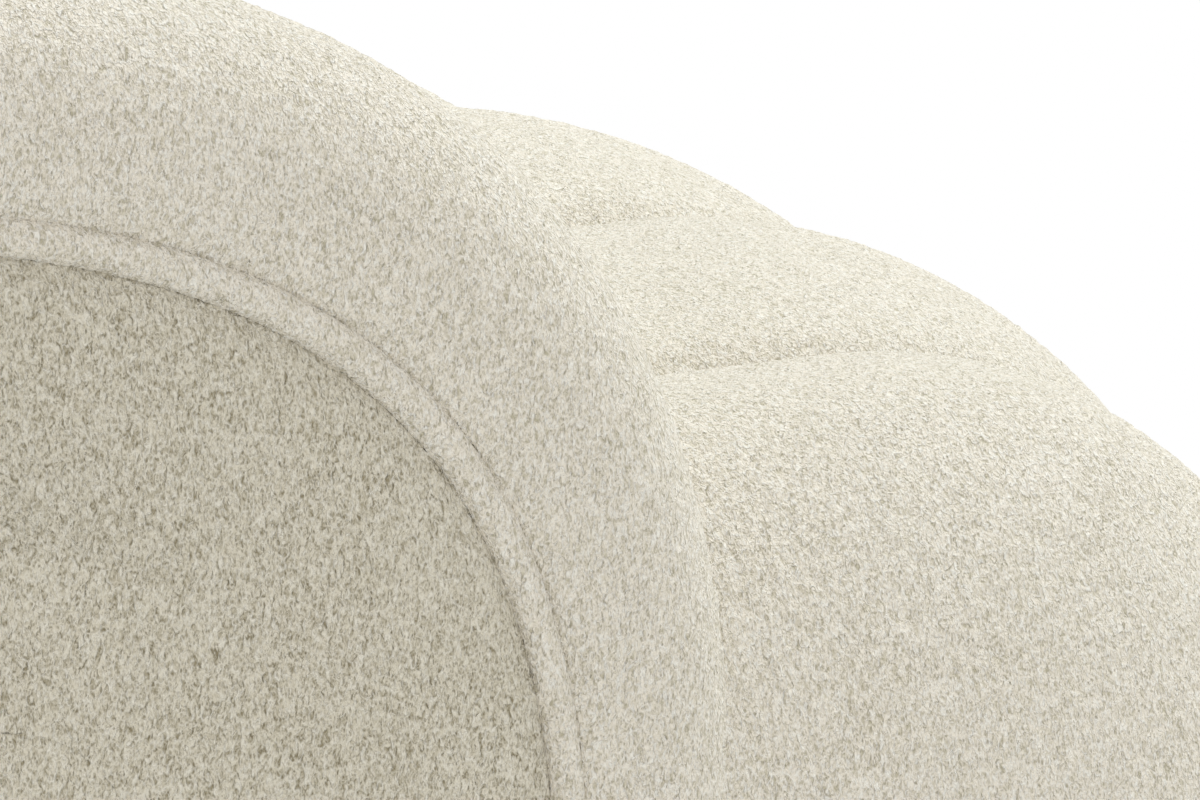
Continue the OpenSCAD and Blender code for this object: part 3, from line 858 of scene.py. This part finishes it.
dust_low, dust_high = (np.array(c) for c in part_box("dust_cover"))
dust = slab("dust_cover_cloth", dust_low, (dust_high[0], dust_high[1], dust_low[2] + 0.0016),
            "dust_cloth", ["dust_cover"], 0.03, ripple=0.001)


# Timber, metal and feet keep their shapes and get their finishes
for part in frame["record"]["subparts"]:
    node = frame["nodes"][part["node"]]
    node.data.materials.clear()
    node.data.materials.append(finishes[part["material_slot"]])


# Stage, light and camera

def seen_directly(tree):
    """One for what the camera, gloss and glass see, nought for light that falls on things."""
    path = tree.nodes.new("ShaderNodeLightPath")
    seen = maths(tree, "MAXIMUM", path.outputs["Is Camera Ray"], path.outputs["Is Glossy Ray"])
    return maths(tree, "MAXIMUM", seen, path.outputs["Is Transmission Ray"])


FADE_START = 1.35          # where the floor starts to run out to white, and
FADE_END = 2.1             # where it is white


def floor():
    """Pale floor that keeps the shadow near the sofa and runs out to plain white."""
    mat, tree, shader, place = new_material("pale_floor")
    grain = noise(tree, place, 3.0, 2.0)
    tree.links.new(ramp(tree, grain, [(0.3, (0.80, 0.80, 0.79)), (0.7, (0.84, 0.84, 0.83))]),
                   shader.inputs["Base Color"])
    shader.inputs["Roughness"].default_value = 0.85
    reach = tree.nodes.new("ShaderNodeVectorMath")
    reach.operation = "MULTIPLY"
    reach.inputs[1].default_value = (1.0, 1.5, 0.0)
    tree.links.new(place, reach.inputs[0])
    distance = tree.nodes.new("ShaderNodeVectorMath")
    distance.operation = "LENGTH"
    tree.links.new(reach.outputs["Vector"], distance.inputs[0])
    fade = tree.nodes.new("ShaderNodeMapRange")
    fade.inputs["From Min"].default_value = FADE_START
    fade.inputs["From Max"].default_value = FADE_END
    tree.links.new(distance.outputs["Value"], fade.inputs["Value"])
    white = tree.nodes.new("ShaderNodeEmission")
    mix = tree.nodes.new("ShaderNodeMixShader")
    tree.links.new(maths(tree, "MULTIPLY", fade.outputs["Result"], seen_directly(tree)), mix.inputs["Fac"])
    tree.links.new(shader.outputs["BSDF"], mix.inputs[1])
    tree.links.new(white.outputs["Emission"], mix.inputs[2])
    tree.links.new(mix.outputs["Shader"], tree.nodes["Material Output"].inputs["Surface"])
    mesh = bpy.data.meshes.new("floor")
    s = 14.0
    mesh.from_pydata([(-s, -s, 0), (s, -s, 0), (s, s, 0), (-s, s, 0)], [], [(0, 1, 2, 3)])
    mesh.materials.append(mat)
    plane = bpy.data.objects.new("floor", mesh)
    bpy.context.scene.collection.objects.link(plane)


def area_light(name, place, target, size, power, colour=(1, 1, 1)):
    data = bpy.data.lights.new(name, "AREA")
    data.shape = "SQUARE"
    data.size = size
    data.energy = power
    data.color = colour
    lamp = bpy.data.objects.new(name, data)
    lamp.location = place
    direction = np.array(target) - np.array(place)
    lamp.rotation_euler = look_angles(direction)
    bpy.context.scene.collection.objects.link(lamp)


def look_angles(direction):
    """Euler angles that turn -Z along a direction with +Y up."""
    x, y, z = direction / np.linalg.norm(direction)
    return (math.acos(max(-1, min(1, -z))), 0.0, math.atan2(-x, y))


def world():
    """Soft even light; the camera, gloss and glass see plain white."""
    scene_world = bpy.data.worlds.new("studio")
    bpy.context.scene.world = scene_world
    scene_world.use_nodes = True
    tree = scene_world.node_tree
    tree.nodes.clear()
    out = tree.nodes.new("ShaderNodeOutputWorld")
    mix = tree.nodes.new("ShaderNodeMixShader")
    soft = tree.nodes.new("ShaderNodeBackground")
    white = tree.nodes.new("ShaderNodeBackground")
    soft.inputs["Color"].default_value = (1.0, 0.985, 0.95, 1)
    soft.inputs["Strength"].default_value = 0.80
    white.inputs["Color"].default_value = (1, 1, 1, 1)
    white.inputs["Strength"].default_value = 1.0
    tree.links.new(seen_directly(tree), mix.inputs["Fac"])
    tree.links.new(soft.outputs["Background"], mix.inputs[1])
    tree.links.new(white.outputs["Background"], mix.inputs[2])
    tree.links.new(mix.outputs["Shader"], out.inputs["Surface"])


# Camera fitted to the photograph, relative to the left arm's front top corner
CAMERA_TURN = math.radians(31.638)
CAMERA_DROP = math.radians(12.522)
CAMERA_ROLL = math.radians(0.385)
CAMERA_AWAY = (2.0819, 1.3493, 0.3987)
LENS_MM = 269.2


def camera():
    data = bpy.data.cameras.new("camera")
    data.lens = LENS_MM
    data.sensor_width = 36.0
    data.sensor_fit = "HORIZONTAL"
    data.clip_start = 0.05
    data.clip_end = 60
    cam = bpy.data.objects.new("camera", data)
    sin, cos = math.sin, math.cos
    t, e, r = CAMERA_TURN, CAMERA_DROP, CAMERA_ROLL
    forward = np.array([cos(t) * cos(e), -sin(t) * cos(e), -sin(e)])
    right = np.array([-sin(t), -cos(t), 0.0])
    up = np.array([cos(t) * sin(e), -sin(t) * sin(e), cos(e)])
    right, up = cos(r) * right + sin(r) * up, -sin(r) * right + cos(r) * up
    corner = np.array([-sofa_half, arm_front_y, arm_h])
    place = corner + np.array([-CAMERA_AWAY[0], CAMERA_AWAY[1], CAMERA_AWAY[2]])
    matrix = np.eye(4)
    matrix[:3, 0] = right
    matrix[:3, 1] = up
    matrix[:3, 2] = -forward
    matrix[:3, 3] = place
    cam.matrix_world = Matrix(matrix.tolist())
    bpy.context.scene.collection.objects.link(cam)
    bpy.context.scene.camera = cam


floor()
world()
camera()
area_light("key", (-0.1, -2.1, 3.5), (0, 0, 0.4), 2.0, 94, (0.95, 1.0, 0.98))
area_light("fill", (-3.4, 1.2, 2.6), (0, 0, 0.4), 3.0, 12)
bpy.context.scene.view_settings.view_transform = "Standard"
